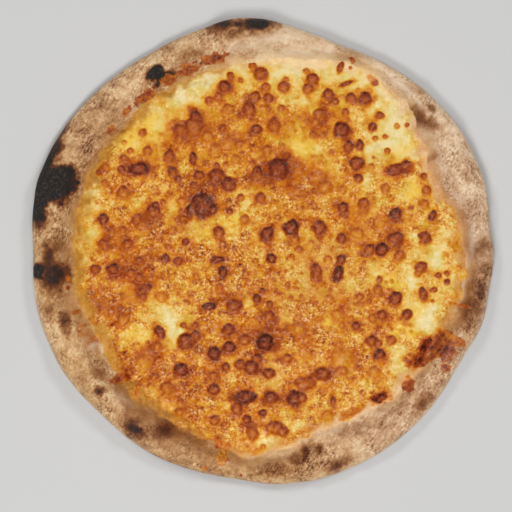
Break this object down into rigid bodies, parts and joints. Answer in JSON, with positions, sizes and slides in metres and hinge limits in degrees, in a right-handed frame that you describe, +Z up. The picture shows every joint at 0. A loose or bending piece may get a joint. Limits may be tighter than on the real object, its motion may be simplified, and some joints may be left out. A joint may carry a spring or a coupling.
{
  "type": "margherita pizza",
  "caption": "Whole round pizza with a thin flat dough base, a raised uneven rim charred in places, and a layer of melted, blistered and browned cheese in its dish.",
  "frame": {"origin": "centre of the pizza's footprint, on the flat underside", "axes": "+Z up out of the cheese, +Y to the side of the pizza that has the most pulled-out rim and a charred edge, +X to the right of that seen from above"},
  "size_m": [0.323, 0.3264, 0.0202],
  "materials": {
    "crust": "matte floury baked dough, pale beige with fine brown freckles and black charred bubbles",
    "cheese": "glossy melted cheese, cream to golden orange, with red-brown to nearly black blisters"
  },
  "bodies": {
    "root": {"crust": "crust", "cheese": "cheese"}
  },
  "joints": []
}
